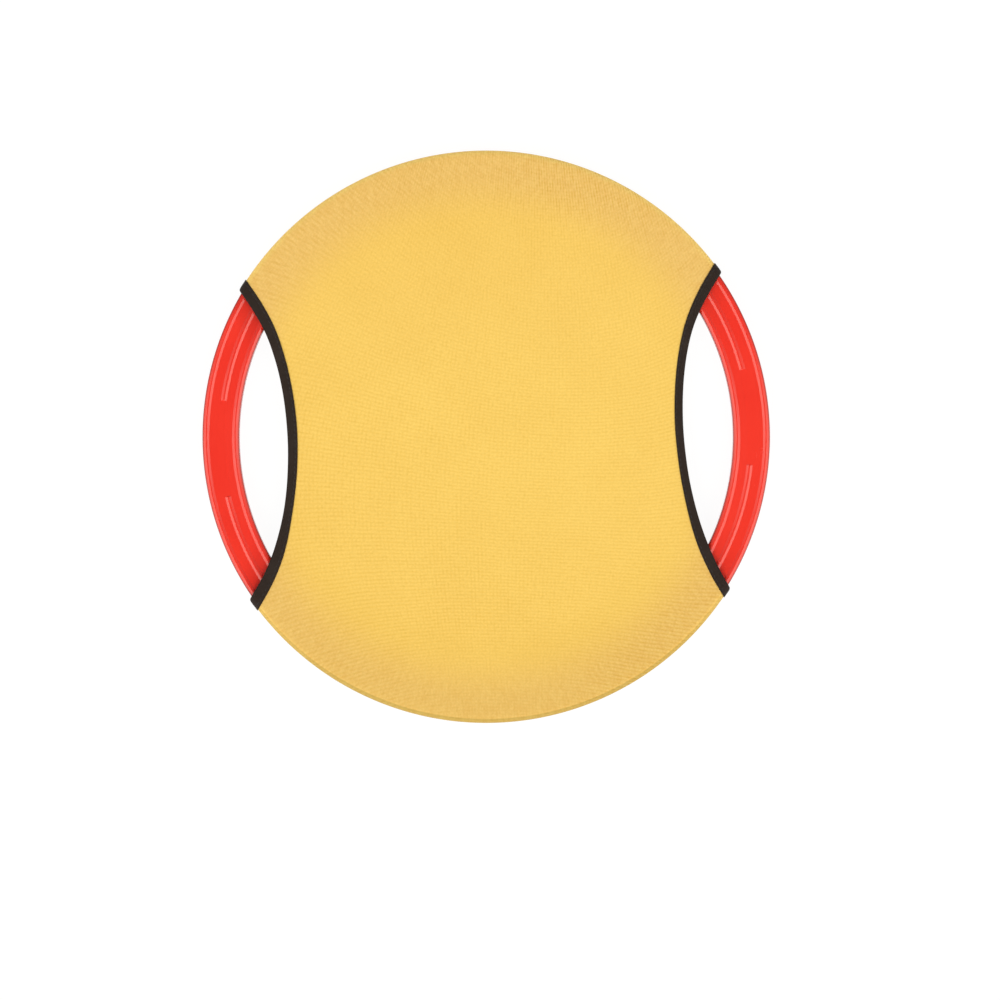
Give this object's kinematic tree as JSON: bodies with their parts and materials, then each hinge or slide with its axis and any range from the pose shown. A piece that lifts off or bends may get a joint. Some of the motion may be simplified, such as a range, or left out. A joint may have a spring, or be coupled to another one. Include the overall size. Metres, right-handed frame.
{
  "type": "rebound paddle",
  "caption": "Round rebound paddle: a moulded plastic hoop inside a sewn stretch-mesh cover that springs a ball back, with tape-bound hand openings at its sides.",
  "frame": {"origin": "middle of the hoop, at half its thickness", "axes": "+Z out of the front face; +X through the right-hand opening; +Y along the covered rim, up in the picture"},
  "size_m": [0.3, 0.3026, 0.0138],
  "materials": {
    "ring_plastic": "glossy red moulded plastic",
    "cover_cloth": "yellow stretch mesh knit",
    "seam_thread": "yellow overlock thread",
    "binding_tape": "black folded binding tape",
    "binding_thread": "black sewing thread"
  },
  "bodies": {
    "ring": {"left_grip": "ring_plastic", "right_grip": "ring_plastic", "upper_hoop": "ring_plastic", "lower_hoop": "ring_plastic"},
    "cover": {"front_panel_rim": "cover_cloth", "back_panel_rim": "cover_cloth", "upper_rim_seam": "seam_thread", "lower_rim_seam": "seam_thread", "left_front_binding": "binding_tape", "left_back_binding": "binding_tape", "right_front_binding": "binding_tape", "right_back_binding": "binding_tape", "left_front_stitches": "binding_thread", "left_back_stitches": "binding_thread", "right_front_stitches": "binding_thread", "right_back_stitches": "binding_thread"},
    "bed": {"front_panel_bed": "cover_cloth", "back_panel_bed": "cover_cloth"}
  },
  "joints": [
    {"name": "cover_turn", "type": "hinge", "parent": "ring", "child": "cover", "pos_m": [0, 0, 0], "axis": [0, 0, 1], "continuous": true},
    {"name": "bounce", "type": "slide", "parent": "cover", "child": "bed", "axis": [0, 0, 1], "range_m": [-0.03, 0.03], "stiffness_N_per_m": 400}
  ]
}
